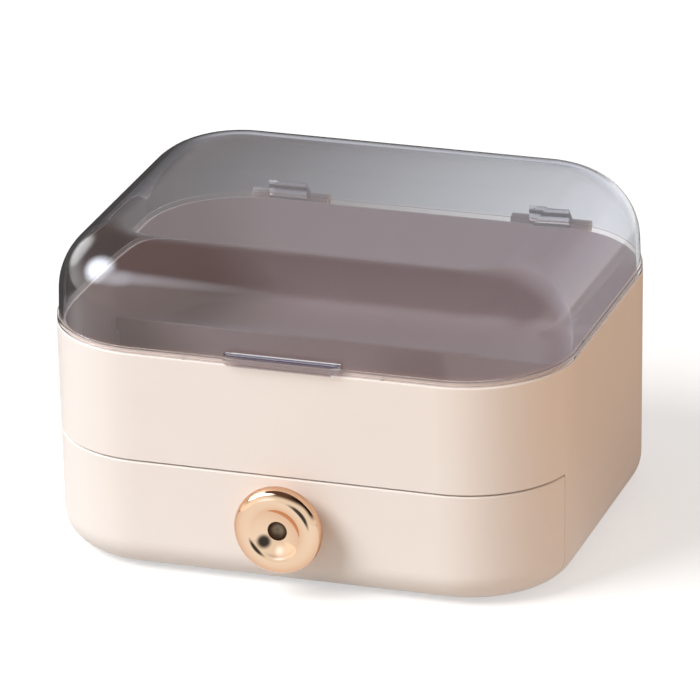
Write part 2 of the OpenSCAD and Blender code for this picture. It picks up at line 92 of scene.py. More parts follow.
# Settings of nodes; a mix takes its share at 0 and colours at 6 and 7, or numbers at 2 and 3
COLOURS = {"data_type": "RGBA"}
NUMBERS = {"data_type": "FLOAT"}
SMOOTH = {"interpolation_type": "SMOOTHSTEP"}
TIMES = {"operation": "MULTIPLY"}
MINUS = {"operation": "SUBTRACT"}
PLUS = {"operation": "ADD"}
TIMES_PLUS = {"operation": "MULTIPLY_ADD"}
EITHER = {"operation": "MAXIMUM"}
LENGTH = {"operation": "LENGTH"}


class Body(Enum):
    """The bodies that move as one."""

    HOUSING = "housing"
    LID = "lid"
    DRAWER = "drawer"


class Slot(Enum):
    """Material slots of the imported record."""

    CREAM = "cream_abs"
    INNER = "inner_cream_abs"
    CLEAR = "smoked_clear"
    GOLD = "rose_gold_plating"
    STEEL = "steel"
    BRASS = "brass"
    RUBBER = "grey_rubber"
    ACETAL = "white_plastic"


def linear(hex_colour: str) -> Rgba:
    """Turn an sRGB hex colour into linear values.

    Args:
        hex_colour: Six hex digits after a hash.

    Returns:
        Linear red, green and blue, and full alpha.
    """
    parts = [int(hex_colour[i : i + 2], 16) / 255 for i in (1, 3, 5)]
    low = [c / 12.92 if c <= 0.04045 else ((c + 0.055) / 1.055) ** 2.4 for c in parts]
    return (low[0], low[1], low[2], 1.0)


def add_node(
    tree: NodeTree,
    kind: str,
    inputs: Inputs | None = None,
    settings: dict[str, object] | None = None,
) -> Node:
    """Add one node with its settings, values and links.

    Args:
        tree: Tree that gets the node.
        kind: Blender's type name of the node.
        inputs: For its inputs by name or index: values, hex colours, output sockets, or nodes
            whose first output in use is meant.
        settings: Properties to set on it.

    Returns:
        The new node.
    """
    node = tree.nodes.new(kind)
    for name, value in (settings or {}).items():
        setattr(node, name, value)
    for name, value in (inputs or {}).items():
        if isinstance(value, Node):
            value = next(socket for socket in value.outputs if socket.enabled)
        if isinstance(value, NodeSocket):
            tree.links.new(value, node.inputs[name])
        else:
            node.inputs[name].default_value = linear(value) if isinstance(value, str) else value
    return node


def new_material(name: str) -> tuple[Material, AddNode]:
    """Make an empty node material.

    Args:
        name: Name of the real material.

    Returns:
        The material, and add_node for its tree.
    """
    material = bpy.data.materials.new(name)
    material.use_nodes = True
    material.node_tree.nodes.clear()
    return material, partial(add_node, material.node_tree)


def scene_object(name: str, data: bpy.types.ID) -> Object:
    """Put an object with its data into the scene.

    Args:
        name: Name of the object.
        data: Mesh, lamp or camera.

    Returns:
        The object, at the origin.
    """
    thing = bpy.data.objects.new(name, data)
    bpy.context.scene.collection.objects.link(thing)
    return thing


@dataclass(frozen=True)
class MouldedAbs:
    """Opaque ABS from a spark-eroded tool: soft sheen over a grain of a third of a millimetre.

    The grain breaks the gloss up, so highlights are wide and faint, and the pigment varies
    by about one part in a hundred.
    """

    name: str = "Cream ABS, fine moulded grain"
    colour: str = "#F0E9E4"
    shade: str = "#EDE5DF"
    cloud_mm: float = 40.0
    roughness: float = 0.46
    roughness_spread: float = 0.05
    grain_mm: float = 0.35
    grain_depth_mm: float = 0.004
    grain_strength: float = 0.35
    ior: float = 1.53

    def build(self) -> Material:
        """Make the material.

        Returns:
            The material.
        """
        material, add = new_material(self.name)
        place = add(COORDINATES).outputs["Object"]
        cloud = add(NOISE, {"Vector": place, "Scale": 1 / (self.cloud_mm * MM), "Detail": 3.0})
        tint = add(MIX, {0: cloud, 6: self.colour, 7: self.shade}, COLOURS)
        grain = add(NOISE, {"Vector": place, "Scale": 1 / (self.grain_mm * MM), "Detail": 2.0})
        spread = {
            "From Min": 0.3,
            "From Max": 0.7,
            "To Min": self.roughness - self.roughness_spread,
            "To Max": self.roughness + self.roughness_spread,
        }
        gloss = add(RANGE, {"Value": grain, **spread})
        depth = {"Strength": self.grain_strength, "Distance": self.grain_depth_mm * MM}
        bump = add(BUMP, {"Height": grain, **depth})
        look = {"Base Color": tint, "Roughness": gloss, "IOR": self.ior, "Normal": bump}
        add(OUTPUT, {"Surface": add(PRINCIPLED, look)})
        return material


@dataclass(frozen=True)
class SmokedStyrene:
    """Polished see-through styrene with a grey dye.

    The walls look smoky and cool. The foot and the tab's face are painted clearer, as painted light,
    so that the lit cream rim under them shows as a pale line, and the tab's top edge is painted
    darker, as a painted dark reflection. Lamps reach the inside through a plain tinted stand-in,
    because a path tracer finds them badly through two bent walls. The stand-in is darker than the
    see-through tint: partly the lid's own tint, partly painted shade inside the box.
    """

    name: str = "Smoked clear styrene, polished"
    tint: str = "#E4E6E9"
    # Clearer below the foot and on the tab's face: painted light on the cream rim under them
    painted_light_foot_tint: str = "#F8F4F2"
    # Lamps' stand-in tint, darker than the see-through tint: partly the lid's own tint, partly painted shade
    lamp_tint_with_painted_shade: str = "#BDB5BA"
    # Lamps' stand-in tint below the foot, clearer: painted light on the rim
    painted_light_foot_film: str = "#F4F2F1"
    # Heights where the painted light of the foot starts to fade and where it is gone
    painted_light_foot_top_mm: float = 106.4
    painted_light_foot_end_mm: float = 108.2
    tab_from_mm: float = -94.2
    # The tab's painted light reaches this much higher
    tab_painted_light_lift_mm: float = 3.0
    # Darker top edge of the tab: a painted dark reflection
    crest: str = "#827E9A"
    painted_dark_edge_mm: tuple[float, float] = (107.9, 108.2)
    ior: float = 1.5

    def build(self) -> Material:
        """Make the material.

        Returns:
            The material.
        """
        material, add = new_material(self.name)
        parts = add(SPLIT, {0: add(COORDINATES).outputs["Object"]}).outputs
        tab = add(MATH, {0: parts["Y"], 1: self.tab_from_mm * MM}, {"operation": "LESS_THAN"})
        lift = add(MATH, {0: tab, 1: self.tab_painted_light_lift_mm * MM}, TIMES)
        height = add(MATH, {0: parts["Z"], 1: lift}, MINUS)
        # Below this span the lid is painted clearer: painted light on the rim and on the tab's face
        painted_light_foot_span = {"From Min": self.painted_light_foot_top_mm * MM, "From Max": self.painted_light_foot_end_mm * MM}
        wall = add(RANGE, {"Value": height, **painted_light_foot_span}, SMOOTH)
        # The tab's top edge gets a painted dark reflection
        edge = {"From Min": self.painted_dark_edge_mm[0] * MM, "From Max": self.painted_dark_edge_mm[1] * MM}
        crest = add(RANGE, {"Value": parts["Z"], **edge}, SMOOTH)
        on_painted_dark_edge = add(MATH, {0: tab, 1: crest}, TIMES)
        tints = []
        for low, high in ((self.painted_light_foot_tint, self.tint), (self.painted_light_foot_film, self.lamp_tint_with_painted_shade)):
            mix = add(MIX, {0: wall, 6: low, 7: high}, COLOURS)
            tints.append(add(MIX, {0: on_painted_dark_edge, 6: mix, 7: self.crest}, COLOURS))
        glass = {"Base Color": tints[0], "Roughness": 0.0, "IOR": self.ior, "Transmission Weight": 1.0}
        shader = add(PRINCIPLED, glass)
        # Lamp rays pass the darker stand-in: painted shade inside the box
        lamp_tint_with_painted_shade = add(SEE_THROUGH, {"Color": tints[1]})
        path = add(LIGHT_PATH).outputs
        lamp = add(MATH, {0: path["Is Shadow Ray"], 1: path["Is Diffuse Ray"]}, EITHER)
        add(OUTPUT, {"Surface": add(MIX_SHADER, {0: lamp, 1: shader, 2: lamp_tint_with_painted_shade})})
        return material


@dataclass(frozen=True)
class Plating:
    """Bright metal plating over a polished moulding: a mirror with a faint orange-peel wave.

    The round hollow at the knob's middle is painted dark, as painted shade, and is rougher.
    """

    name: str = "Rose-gold plating, mirror bright"
    colour: str = "#F3D6B8"
    # Darker orange at grazing angles: a painted reflection of the cream front on the rim
    edge: str = "#CC7F48"
    painted_edge_blend: float = 0.4
    roughness: float = 0.07
    wave_mm: float = 3.0
    wave_depth_mm: float = 0.004
    wave_strength: float = 0.3
    # Painted shade in the round hollow, and the hollow's roughness
    hollow_painted_shade: str = "#8C7B68"
    hollow_roughness: float = 0.42
    hollow_shade_r_mm: float = 4.45
    hollow_shade_fade_mm: float = 0.15
    hollow_shade_z_mm: float = 33.0

    def build(self) -> Material:
        """Make the material.

        Returns:
            The material.
        """
        material, add = new_material(self.name)
        place = add(COORDINATES).outputs["Object"]
        wave = add(NOISE, {"Vector": place, "Scale": 1 / (self.wave_mm * MM), "Detail": 1.0})
        depth = {"Strength": self.wave_strength, "Distance": self.wave_depth_mm * MM}
        bump = add(BUMP, {"Height": wave, **depth})
        # Inside this radius about the knob's axis the colour is painted shade
        off = add(VECTOR_MATH, {0: place, 1: (0, 0, self.hollow_shade_z_mm * MM)}, MINUS)
        away = add(VECTOR_MATH, {0: add(VECTOR_MATH, {0: off, 1: (1, 0, 1)}, TIMES)}, LENGTH)
        rim = {"From Min": (self.hollow_shade_r_mm - self.hollow_shade_fade_mm) * MM, "From Max": self.hollow_shade_r_mm * MM}
        outside_hollow_shade = add(RANGE, {"Value": away, **rim})
        # Painted reflection: the colour turns darker orange where the surface is seen edge-on
        facing = add("ShaderNodeLayerWeight", {"Blend": self.painted_edge_blend}).outputs["Facing"]
        gold = add(MIX, {0: facing, 6: self.colour, 7: self.edge}, COLOURS)
        colour = add(MIX, {0: outside_hollow_shade, 6: self.hollow_painted_shade, 7: gold}, COLOURS)
        roughness = add(MIX, {0: outside_hollow_shade, 2: self.hollow_roughness, 3: self.roughness}, NUMBERS)
        look = {"Base Color": colour, "Metallic": 1.0, "Roughness": roughness, "Normal": bump}
        add(OUTPUT, {"Surface": add(PRINCIPLED, look)})
        return material


@dataclass(frozen=True)
class PlainFinish:
    """A small part's finish: one colour with a fine grain that makes its sheen uneven."""

    name: str
    colour: str
    roughness: float
    metallic: float = 0.0
    ior: float = 1.5
    grain_mm: float = 0.3
    roughness_spread: float = 0.08

    def build(self) -> Material:
        """Make the material.

        Returns:
            The material.
        """
        material, add = new_material(self.name)
        place = add(COORDINATES).outputs["Object"]
        grain = add(NOISE, {"Vector": place, "Scale": 1 / (self.grain_mm * MM), "Detail": 2.0})
        low, high = self.roughness - self.roughness_spread, self.roughness + self.roughness_spread
        gloss = add(RANGE, {"Value": grain, "To Min": low, "To Max": high})
        look = {"Base Color": self.colour, "Metallic": self.metallic, "Roughness": gloss, "IOR": self.ior}
        add(OUTPUT, {"Surface": add(PRINCIPLED, look)})
        return material


@dataclass(frozen=True)
class Station:
    """One point of a profile: distance from the corner axis, height, and its normal."""

    r: float
    z: float
    out: float
    up: float


def tub_side(
    z_closed: float, z_open: float, r_closed: float, r_open: float, edge: float, steps: int = 24
) -> list[Station]:
    """Profile of a rounded tub from its open end to the middle of its closed end.

    It is the same outline as the CAD source draws.

    Args:
        z_closed: Height of the closed end.
        z_open: Height of the open end.
        r_closed: Radius about the corner axes at the closed end, before rounding.
        r_open: Radius about the corner axes at the open end.
        edge: Radius of the rounding at the closed end.
        steps: Number of faces round the rounding.

    Returns:
        Stations with outward normals.
    """
    turn = 1 if z_closed > z_open else -1
    lean = math.atan((r_open - r_closed) / abs(z_closed - z_open))
    centre_r = r_closed + edge * (math.tan(lean) - 1 / math.cos(lean))
    centre_z = z_closed - turn * edge
    stations = [Station(r_open, z_open, math.cos(lean), turn * math.sin(lean))]
    for i in range(steps + 1):
        a = lean + (math.pi / 2 - lean) * i / steps
        c, s = math.cos(a), math.sin(a)
        stations.append(Station(centre_r + edge * c, centre_z + turn * edge * s, c, turn * s))
    return stations


@dataclass(frozen=True)
class Plan:
    """Rounded rectangle seen from above: its four corner axes and the faces round a corner."""

    axis_x: float
    front_axis_y: float
    rear_axis_y: float
    corner_steps: int = 28

    def ring(self, station: Station) -> list[tuple[Vector, Vector]]:
        """Points and normals round the plan at one station.

        Args:
            station: Where on the profile.

        Returns:
            Point and normal pairs, counter-clockwise seen from above, in millimetres.
        """
        rear, front = self.rear_axis_y, self.front_axis_y
        found = []
        for quarter, (side, y) in enumerate(((1, rear), (-1, rear), (-1, front), (1, front))):
            for i in range(self.corner_steps + 1):
                a = math.pi / 2 * (quarter + i / self.corner_steps)
                c, s = math.cos(a), math.sin(a)
                spot = Vector((side * self.axis_x + station.r * c, y + station.r * s, station.z))
                found.append((spot, Vector((station.out * c, station.out * s, station.up))))
        return found


@dataclass
class MeshMaker:
    """Collects faces with their own corner normals and turns them into an object."""

    points: list[Vector] = field(default_factory=list)
    faces: list[list[int]] = field(default_factory=list)
    normals: list[Vector] = field(default_factory=list)

    def add_points(self, points: list[Vector]) -> list[int]:
        """Add points.

        Args:
            points: The points, in millimetres.

        Returns:
            Their numbers.
        """
        start = len(self.points)
        self.points.extend(points)
        return list(range(start, len(self.points)))

    def add_face(self, corners: list[int], normals: list[Vector]) -> None:
        """Add a face.

        Args:
            corners: Numbers of its points, counter-clockwise seen from outside.
            normals: One normal for each corner.
        """
        self.faces.append(corners)
        self.normals.extend(normals)

    def add_flat(self, corners: list[int]) -> None:
        """Add a flat face, whose normal follows from its corners.

        Args:
            corners: Numbers of its points, counter-clockwise seen from outside.
        """
        a = Vector((0, 0, 0))
        for i, corner in enumerate(corners):
            a += self.points[corner].cross(self.points[corners[(i + 1) % len(corners)]])
        self.add_face(corners, [a.normalized()] * len(corners))

    def add_strip(self, low: Row, high: Row) -> None:
        """Join two closed rows of points by four-sided faces.

        Args:
            low: Numbers of the first row's points, and their normals.
            high: The same for the second row.
        """
        (a, a_normals), (b, b_normals) = low, high
        for i in range(len(a)):
            j = (i + 1) % len(a)
            self.add_face([a[i], a[j], b[j], b[i]], [a_normals[i], a_normals[j], b_normals[j], b_normals[i]])

    def build(self, name: str, material: Material) -> Object:
        """Make the object at the origin, in metres.

        Args:
            name: Name of the piece.
            material: Its finish.

        Returns:
            The object.
        """
        mesh = bpy.data.meshes.new(name)
        mesh.from_pydata([p * MM for p in self.points], [], self.faces)
        mesh.shade_smooth()
        mesh.normals_split_custom_set([n.normalized() for n in self.normals])
        mesh.materials.append(material)
        return scene_object(name, mesh)


def arc(centre: tuple[float, float], radius: float, start: float, end: float, steps: int) -> Outline:
    """Points on an arc.

    Args:
        centre: Its centre.
        radius: Its radius.
        start: First angle in degrees.
        end: Last angle in degrees.
        steps: Number of straight pieces.

    Returns:
        The points, both ends among them.
    """
    turns = [math.radians(start + (end - start) * i / steps) for i in range(steps + 1)]
    return [(centre[0] + radius * math.cos(a), centre[1] + radius * math.sin(a)) for a in turns]


def side_normals(outline: Outline, crease: float = 0.8) -> list[tuple[Vector, Vector]]:
    """Normals at both ends of each side of a closed outline drawn counter-clockwise.

    Args:
        outline: The points.
        crease: Two sides shade as one where the cosine between them is over this.

    Returns:
        For each side, its normal at its first and at its last point.
    """
    count = len(outline)
    flats = []
    for i, (a, b) in enumerate(outline):
        c, d = outline[(i + 1) % count]
        flats.append(Vector((d - b, a - c)).normalized())
    found = []
    for i, flat in enumerate(flats):
        before, after = flats[i - 1], flats[(i + 1) % count]
        first = (flat + before).normalized() if flat.dot(before) > crease else flat
        last = (flat + after).normalized() if flat.dot(after) > crease else flat
        found.append((first, last))
    return found


def add_bar(
    maker: MeshMaker, outline: Outline, holes: list[Outline], middle: float, halves: list[float]
) -> None:
    """Add a closed bar along X with a section in Y and Z.

    Args:
        maker: Mesh that gets the faces.
        outline: Section, counter-clockwise seen from +X.
        holes: Holes through it, clockwise.
        middle: Its middle along X.
        halves: Half the bar's length at each point of all loops.
    """
    loops = [outline, *holes]
    starts = [sum(len(loop) for loop in loops[:k]) for k in range(len(loops))]
    flat = [point for loop in loops for point in loop]
    near, far = (
        maker.add_points([Vector((middle + side * half, y, z)) for half, (y, z) in zip(halves, flat)])
        for side in (1, -1)
    )
    for start, loop in zip(starts, loops):
        for i, (first, last) in enumerate(side_normals(loop)):
            j = (i + 1) % len(loop)
            a, b = Vector((0, *first)), Vector((0, *last))
            maker.add_face([far[start + i], far[start + j], near[start + j], near[start + i]], [a, b, b, a])
    for triangle in tessellate_polygon([[Vector((y, z, 0)) for y, z in loop] for loop in loops]):
        (ay, az), (by, bz), (cy, cz) = (flat[i] for i in triangle)
        area = (by - ay) * (cz - az) - (bz - az) * (cy - ay)
        order = list(triangle) if area > 0 else list(reversed(triangle))
        maker.add_flat([near[i] for i in order])
        maker.add_flat([far[i] for i in reversed(order)])


def wall_between(
    maker: MeshMaker, plan: Plan, runs: list[list[Station]], flip: bool
) -> tuple[list[int], list[int]]:
    """Add the faces of a profile swept round a plan.

    Args:
        maker: Mesh that gets the faces.
        plan: The plan to sweep round.
        runs: Smooth stretches of the profile, each starting where the last one ended.
        flip: True for a wall that faces inwards.

    Returns:
        Numbers of the first and the last ring's points.
    """
    sign = -1 if flip else 1
    first: list[int] = []
    last: list[int] = []
    for run in runs:
        rows: list[Row] = []
        for station in run:
            ring = plan.ring(station)
            joins_last = last and not rows
            numbers = last if joins_last else maker.add_points([p for p, _ in ring])
            rows.append((numbers, [n * sign for _, n in ring]))
        for low, high in zip(rows, rows[1:]):
            maker.add_strip(*((high, low) if flip else (low, high)))
        first = first or rows[0][0]
        last = rows[-1][0]
    return first, last


@dataclass
class Lid:
    """Smoked clear lid: a thin dome with a flange at its foot, a pull tab and hinge knuckles."""

    axis_x: float = 69.5
    axis_y: float = 49.5
    frame_shift: float = 3.366
    top_z: float = 147.0
    foot_z: float = 103.9
    flange_z: float = 106.5
    flange_r: float = 47.75
    foot_r: float = 47.0
    top_r: float = 45.785
    edge_r: float = 30.0
    thickness: float = 1.8
    bevel: float = 0.25
    tab_w: float = 54.0
    tab_out: float = 4.0
    tab_h: float = 5.0
    tab_round: float = 1.4
    hinge_x: float = 62.0
    hinge_y: float = 104.466
    hinge_z: float = 103.5
    knuckle_r: float = 3.3
    knuckle_w: float = 18.0
    bore_r: float = 1.3
    web_h: float = 11.0
    web_reach: float = 5.8
    web_angle: float = 40.0
    web_step: float = 0.1
    open_angle: float = 100.0
    heel_face: float = 3.5
    heel_drop: float = 3.9
    heel_top: float = -4.0

    def add_tab(self, maker: MeshMaker) -> None:
        """Add the pull tab: a bar with rounded front edges and slanted ends.

        Args:
            maker: Mesh that gets the faces.
        """
        face = self.frame_shift - self.axis_y - self.flange_r
        front = face - self.tab_out
        top = self.foot_z + self.tab_h
        round_r = self.tab_round
        outline = [
            (face - JOIN, self.foot_z),
            (face - JOIN, self.flange_z + JOIN),
            (face + self.flange_r - self.foot_r - JOIN, self.flange_z + JOIN),
            (face + self.flange_r - self.foot_r, top),
            *arc((front + round_r, top - round_r), round_r, 90, 180, 8),
            *arc((front + round_r, self.foot_z + round_r), round_r, 180, 270, 8),
        ]
        halves = [self.tab_w / 2 - max(0.0, face - y) for y, _ in outline]
        add_bar(maker, outline, [], 0.0, halves)

    def add_knuckle(self, maker: MeshMaker, middle: float) -> None:
        """Add a hinge knuckle with its web and its heel.

        Args:
            maker: Mesh that gets the faces.
            middle: Its place along X.
        """
        y, z = self.hinge_y, self.hinge_z
        wall = self.frame_shift + self.axis_y + self.flange_r + JOIN
        gap = self.foot_z - z
        level = math.degrees(math.asin(gap / self.knuckle_r))
        web = math.radians(self.web_angle)
        fall = self.knuckle_r * math.sin(web) - self.web_h
        slope = fall / (self.knuckle_r * math.cos(web) + self.web_reach)
        step = wall - self.flange_r + self.foot_r
        web_top = z + self.web_h + slope * (step - y + self.web_reach)
        swing = math.radians(self.open_angle)
        heel_y, heel_z = y - self.heel_face * math.cos(swing), z - self.heel_face * math.sin(swing)
        outline = [
            (wall, self.flange_z + JOIN),
            (wall, z + gap),
            *arc((y, z), self.knuckle_r, 180 - level, 180 + self.open_angle, 14),
            (heel_y, heel_z),
            (heel_y + self.heel_drop * math.sin(swing), heel_z - self.heel_drop * math.cos(swing)),
            *arc((y, z), self.knuckle_r, self.heel_top, self.web_angle, 7),
            (step - self.web_step, web_top),
            (step, self.flange_z + JOIN),
        ]
        # A hole runs clockwise and ends a step before its start
        hole = arc((y, z), self.bore_r, 360, 15, 23)
        halves = [self.knuckle_w / 2] * (len(outline) + len(hole))
        add_bar(maker, outline, [hole], middle, halves)

    def build(self, material: Material) -> Object:
        """Make the dome with its flange as one closed wall, and the tab and knuckles on it.

        Args:
            material: The finish.

        Returns:
            The object.
        """
        maker = MeshMaker()
        self.add_tab(maker)
        for side in (-1, 1):
            self.add_knuckle(maker, side * self.hinge_x)
        plan = Plan(self.axis_x, self.frame_shift - self.axis_y, self.frame_shift + self.axis_y)
        below = Station(self.flange_r, self.flange_z - self.bevel, 1, 0)
        above = Station(self.flange_r - self.bevel, self.flange_z, 0, 1)
        outside = [
            [Station(self.flange_r, self.foot_z, 1, 0), below],
            [below, above],
            [above, Station(self.foot_r, self.flange_z, 0, 1)],
            tub_side(self.top_z, self.flange_z, self.top_r, self.foot_r, self.edge_r),
        ]
        foot_out, top_out = wall_between(maker, plan, outside, False)
        maker.add_flat(top_out)
        top_z, top_r, foot_r, edge_r = (
            size - self.thickness for size in (self.top_z, self.top_r, self.foot_r, self.edge_r)
        )
        inner = tub_side(top_z, self.foot_z, top_r, foot_r, edge_r)
        foot_in, top_in = wall_between(maker, plan, [inner], True)
        maker.add_flat(list(reversed(top_in)))
        down = [Vector((0, 0, -1))] * len(foot_in)
        maker.add_strip((foot_in, down), (foot_out, down))
        return maker.build("clear_lid", material)


@dataclass
class Knob:
    """Round knob: a plump rim, a shallow dish and a deeper round hollow, turned on one axis."""

    front_y: float = -94.1135
    height: float = 33.0
    radius: float = 19.8
    rim_r: float = 5.6
    widest: float = 9.2
    neck_r: float = 13.5
    dish_r: float = 19.0
    pit_r: float = 4.4
    pit_floor: float = 6.4
    bore_r: float = 2.8
    bore_len: float = 5.0
    rim_from: float = -35.0
    rim_steps: int = 64
    dish_steps: int = 24
    turns: int = 128

    def section(self) -> Outline:
        """Work out the half section.

        Returns:
            The points from the bore's bottom round the outside to the hollow's middle.
        """
        rim_c = self.radius - self.rim_r
        reach = self.dish_r + self.rim_r
        dish_c = self.widest + math.sqrt(reach * reach - rim_c * rim_c)
        rise = math.degrees(math.atan2(dish_c - self.widest, -rim_c))
        rim = arc((rim_c, self.widest), self.rim_r, self.rim_from, rise, self.rim_steps)
        pit_c = self.pit_floor + self.pit_r
        apart = dish_c - pit_c
        along = (self.dish_r**2 - self.pit_r**2 + apart**2) / (2 * apart)
        meet_h = dish_c - along
        meet_r = math.sqrt(self.dish_r**2 - along**2)
        dish_start = math.degrees(math.atan2(rim[-1][1] - dish_c, rim[-1][0]))
        dish_end = math.degrees(math.atan2(meet_h - dish_c, meet_r))
        pit_start = math.degrees(math.atan2(meet_h - pit_c, meet_r))
        log.info("knob: dish meets the hollow at radius %.2f, %.2f up", meet_r, meet_h)
        return [
            (0.0, self.bore_len),
            (self.bore_r, self.bore_len),
            (self.bore_r, 0.0),
            (self.neck_r, 0.0),
            *rim,
            *arc((0.0, dish_c), self.dish_r, dish_start, dish_end, self.dish_steps)[1:],
            *arc((0.0, pit_c), self.pit_r, pit_start, -90, self.dish_steps)[1:],
        ]

    def build(self, material: Material) -> Object:
        """Turn the section and place the knob on the drawer front.

        Args:
            material: The finish.

        Returns:
            The object.
        """
        piece = turned("gold_knob", self.section(), self.turns, material)
        spot = Matrix.Translation(Vector((0, self.front_y, self.height)) * MM)
        piece.data.transform(spot @ Matrix.Rotation(math.pi / 2, 4, "X"))
        return piece


@dataclass(frozen=True)
class ScrewKind:
    """One kind of screw: pan head with a cross recess over a threaded shank.

    It lies along an axis, 0 to 2 for X to Z, and its head faces up it (1) or down it (-1). The
    cross has its arms' length and width as shares of the head's radius and its depth as one
    of the head's thickness.
    """

    node: str
    body: Body
    head_r: float
    head_t: float
    shank_r: float
    axis: int
    facing: int
    pitch: float = 0.8
    thread: float = 0.14
    tip: tuple[float, float] = (0.2, 0.5)
    rounding: float = 0.45
    cross: Triple = (1.1, 0.26, 0.55)
    turns: int = 40
    seed: int = 7

    def section(self, length: float) -> Outline:
        """Half section, its head's top at height 0.

        Args:
            length: Length over all.

        Returns:
            The points from the tip up to the middle of the head.
        """
        crest, root = self.shank_r, self.shank_r - self.thread
        low = -length + self.tip[1]
        points = [(0.0, -length), (root - self.tip[0], -length), (crest, low)]
        while low + self.pitch < -self.head_t:
            points += [(root, low + self.pitch / 2), (crest, low + self.pitch)]
            low += self.pitch
        round_r = self.head_t * self.rounding
        points += [(crest, -self.head_t), (self.head_r, -self.head_t)]
        points += arc((self.head_r - round_r, -round_r), round_r, 0, 90, 8)
        return [*points, (0.0, 0.0)]

    def turn(self) -> Triple:
        """Work out the angles that bring the head's top to face along the axis.

        Returns:
            The angles about X, Y and Z.
        """
        if self.axis == 1:
            return (-math.pi / 2 * self.facing, 0.0, 0.0)
        return (0.0 if self.facing > 0 else math.pi, 0.0, 0.0)

    def build(self, material: Material) -> Object:
        """Make all screws of this kind where the CAD node has them.

        Args:
            material: The finish.

        Returns:
            One object with all of them.
        """
        length, spots = solids_along((self.node,), self.axis, self.facing, 2 * self.head_r)
        blank = turned(self.node + "_blank", self.section(length), self.turns, material)
        cutter = self.recess()
        cut = blank.modifiers.new("recess", "BOOLEAN")
        cut.operation = "DIFFERENCE"
        cut.solver = "EXACT"
        cut.object = cutter
        screw = plain_copy(blank, self.node + "_one")
        bpy.data.objects.remove(cutter)
        flat_where_sharp(screw.data)
        return copies("visual_" + self.node, screw, spots, material, self.turn(), math.tau, self.seed)

    def recess(self) -> Object:
        """Make the cross that the driver's recess is cut with.

        Returns:
            The cross, its middle at the head's top.
        """
        work = bmesh.new()
        arm, width = self.head_r * self.cross[0], self.head_r * self.cross[1]
        depth = self.head_t * self.cross[2]
        for size in ((arm, width), (width, arm)):
            cube = bmesh.ops.create_cube(work, size=1.0)["verts"]
            bmesh.ops.scale(work, vec=Vector((*size, 2 * depth)) * MM, verts=cube)
        mesh = bpy.data.meshes.new("recess")
        work.to_mesh(mesh)
        work.free()
        return scene_object("recess", mesh)


SCREWS = (
    ScrewKind("base_screws", Body.HOUSING, 2.4, 1.1, 1.2, 2, -1),
    ScrewKind("rail_screws", Body.HOUSING, 2.4, 1.1, 1.2, 2, -1),
    ScrewKind("shoe_screws", Body.DRAWER, 2.4, 1.1, 1.2, 2, 1),
    ScrewKind("front_screws", Body.DRAWER, 3.0, 1.8, 1.2, 1, 1),
    ScrewKind("knob_screw", Body.DRAWER, 3.8, 2.4, 1.95, 1, 1),
)


@dataclass(frozen=True)
class Button:
    """A round rubber part with softened edges, in as many places as its CAD nodes have it."""

    name: str
    nodes: tuple[str, ...]
    radius: float
    edge: float
    dimple_r: float
    dimple: float
    upright: bool
    turns: int = 48

    def section(self, height: float) -> Outline:
        """Half section, its face down for a foot and up for a pad.

        Args:
            height: Height over all.

        Returns:
            The points from the axis out, up and back to the axis.
        """
        face = [
            (0.0, self.dimple),
            (self.dimple_r, self.dimple),
            (self.dimple_r + self.dimple, 0.0),
            *arc((self.radius - self.edge, self.edge), self.edge, -90, 0, 8),
        ]
        points = [*face, (self.radius, height), (0.0, height)]
        if self.upright:
            points = [(r, height - h) for r, h in reversed(points)]
        return points

    def build(self, material: Material) -> Object:
        """Make all of them.

        Args:
            material: The finish.

        Returns:
            One object.
        """
        height, spots = solids_along(self.nodes, 2, -1, 3 * self.radius)
        one = turned(self.name + "_one", self.section(height), self.turns, material)
        return copies(self.name, one, spots, material)


FEET = tuple(f"foot_{end}_{side}" for end in ("front", "rear") for side in ("left", "right"))
# A pad has no dimple to speak of
BUTTONS = (
    Button("rubber_feet", FEET, radius=6.0, edge=0.6, dimple_r=3.6, dimple=0.4, upright=False),
    Button("rim_buffers", ("rim_pads",), radius=1.1, edge=0.35, dimple_r=0.01, dimple=0.01, upright=True),
)


def solids_along(
    nodes: tuple[str, ...], axis: int, facing: int, apart: float
) -> tuple[float, list[Vector]]:
    """Find the separate solids of CAD nodes, which lie apart across an axis.

    Args:
        nodes: Names of the nodes.
        axis: Axis that the solids lie along. It is left out when they are told apart.
        facing: 1 for the solids' ends up the axis, -1 for the others.
        apart: Points closer than this belong together.

    Returns:
        Length of the first solid and the middle of each one's end, in millimetres.
    """
    boxes: list[tuple[Vector, Vector]] = []
    for point in (vertex.co / MM for node in nodes for vertex in frame["nodes"][node].data.vertices):
        for low, high in boxes:
            if all(k == axis or low[k] - apart < point[k] < high[k] + apart for k in range(3)):
                for k in range(3):
                    low[k] = min(low[k], point[k])
                    high[k] = max(high[k], point[k])
                break
        else:
            boxes.append((point.copy(), point.copy()))
    spots = []
    for low, high in boxes:
        spot = (low + high) / 2
        spot[axis] = high[axis] if facing > 0 else low[axis]
        spots.append(spot)
    low, high = boxes[0]
    return high[axis] - low[axis], spots


def node_tree(name: str, inputs: dict[str, str]) -> tuple[NodeTree, AddNode]:
    """Make an empty geometry node tree.

    Args:
        name: Its name.
        inputs: Names and socket kinds of its inputs.

    Returns:
        The tree, and add_node for it.
    """
    tree = bpy.data.node_groups.new(name, "GeometryNodeTree")
    for label, kind in inputs.items():
        tree.interface.new_socket(label, in_out="INPUT", socket_type="NodeSocket" + kind)
    tree.interface.new_socket("Mesh", in_out="OUTPUT", socket_type="NodeSocketGeometry")
    return tree, partial(add_node, tree)


def close_tree(add: AddNode, given: Node, shape: Node) -> None:
    """End a tree in real geometry with its material.

    Args:
        add: add_node for the tree.
        given: The tree's input node.
        shape: The node that makes the finished geometry.
    """
    real = add("GeometryNodeRealizeInstances", {0: shape})
    dressed = {"Geometry": real, "Material": given.outputs["Material"]}
    add("NodeGroupOutput", {0: add("GeometryNodeSetMaterial", dressed)})


